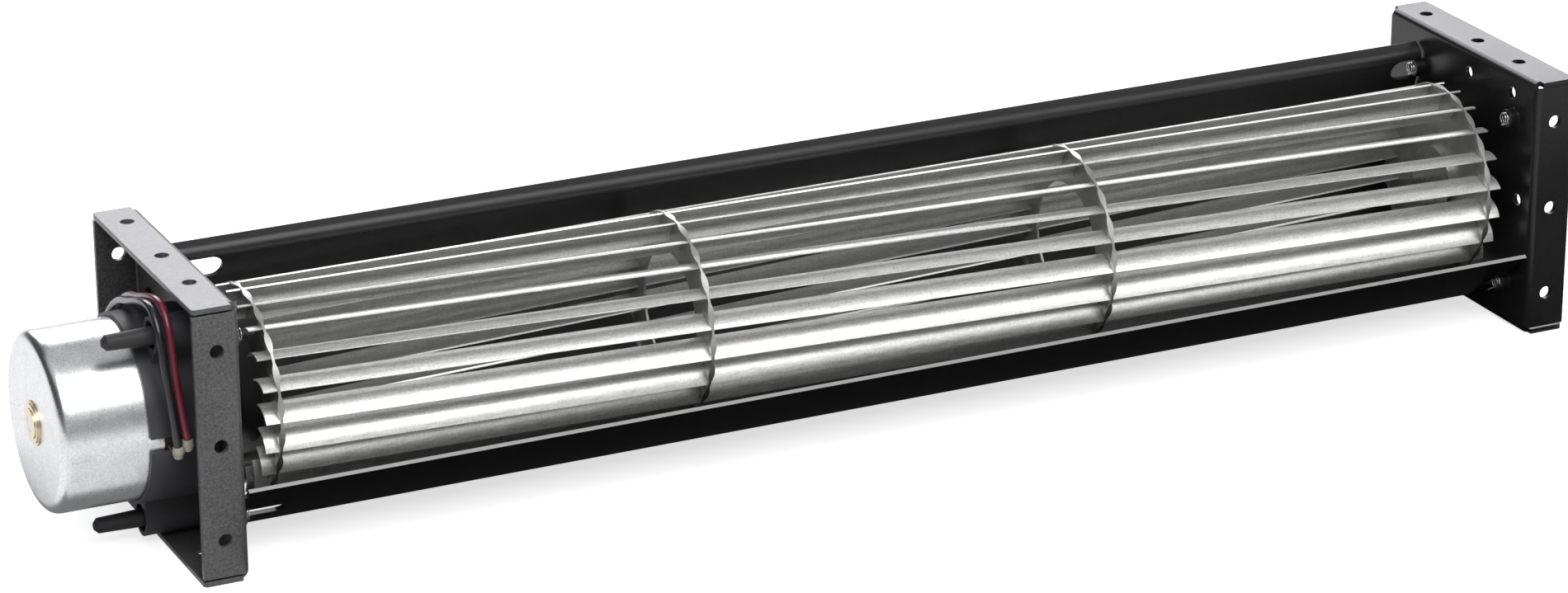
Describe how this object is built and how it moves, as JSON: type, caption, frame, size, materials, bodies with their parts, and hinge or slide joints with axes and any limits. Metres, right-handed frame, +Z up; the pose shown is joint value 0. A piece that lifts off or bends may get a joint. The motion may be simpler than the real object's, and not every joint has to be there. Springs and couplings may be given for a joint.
{
  "type": "cross flow fan",
  "caption": "Cross flow fan: a long bladed wheel between two flanged brackets, with a direct-current motor on rubber pins at one end, two wire leads and two curved sheet panels.",
  "frame": {"origin": "centre of the base, under the brackets' flanges", "axes": "+X along the wheel's axis towards the bearing, +Y to the back, +Z up"},
  "size_m": [0.3218, 0.0843, 0.055],
  "materials": {
    "black_sheet": "glossy black paint on thin sheet steel",
    "zinc_steel": "bright zinc-plated deep-drawn steel",
    "black_moulding": "black moulded plastic, faint sheen",
    "black_rubber": "matte black rubber",
    "bronze": "sintered bronze, dull",
    "magnet": "pressed ferrite, dark grey",
    "steel": "ground steel",
    "copper": "enamelled copper",
    "carbon": "pressed carbon",
    "spring_brass": "rolled brass strip",
    "wheel_aluminium": "bright rolled aluminium, fine grain along the length",
    "cream_insulation": "cream insulating varnish over the soldered joint",
    "black_cable": "soft glossy PVC",
    "red_cable": "soft glossy PVC"
  },
  "bodies": {
    "housing": {"bearing_bracket": "black_sheet", "bearing_bush": "bronze", "bearing_rubber": "black_rubber", "brush_1": "carbon", "brush_2": "carbon", "brush_arm_1": "spring_brass", "brush_arm_2": "spring_brass", "can_bush": "bronze", "cap_bush": "bronze", "coil_black": "black_cable", "coil_red": "red_cable", "end_cap": "black_moulding", "lead_black": "black_cable", "lead_joints": "cream_insulation", "lead_red": "red_cable", "magnet_1": "magnet", "magnet_2": "magnet", "motor_bracket": "black_sheet", "motor_can": "zinc_steel", "motor_holder": "black_moulding", "rear_panel": "black_sheet", "rubber_pins": "black_rubber", "scroll_panel": "black_sheet", "terminal_1": "spring_brass", "terminal_2": "spring_brass"},
    "rotor": {"blade_01": "wheel_aluminium", "blade_02": "wheel_aluminium", "blade_03": "wheel_aluminium", "blade_04": "wheel_aluminium", "blade_05": "wheel_aluminium", "blade_06": "wheel_aluminium", "blade_07": "wheel_aluminium", "blade_08": "wheel_aluminium", "blade_09": "wheel_aluminium", "blade_10": "wheel_aluminium", "blade_11": "wheel_aluminium", "blade_12": "wheel_aluminium", "blade_13": "wheel_aluminium", "blade_14": "wheel_aluminium", "blade_15": "wheel_aluminium", "blade_16": "wheel_aluminium", "blade_17": "wheel_aluminium", "blade_18": "wheel_aluminium", "blade_19": "wheel_aluminium", "blade_20": "wheel_aluminium", "disc_1": "wheel_aluminium", "disc_2": "wheel_aluminium", "disc_3": "wheel_aluminium", "disc_4": "wheel_aluminium", "winding_1": "copper", "winding_2": "copper", "winding_3": "copper", "drive_hub": "bronze", "hub_rubber": "black_rubber", "end_shaft": "steel", "motor_shaft": "steel", "armature_core": "steel", "commutator": "copper"}
  },
  "joints": [
    {"name": "wheel_spin", "type": "hinge", "parent": "housing", "child": "rotor", "pos_m": [0.01188, -0.0025, 0.0275], "axis": [1, 0, 0], "continuous": true}
  ]
}
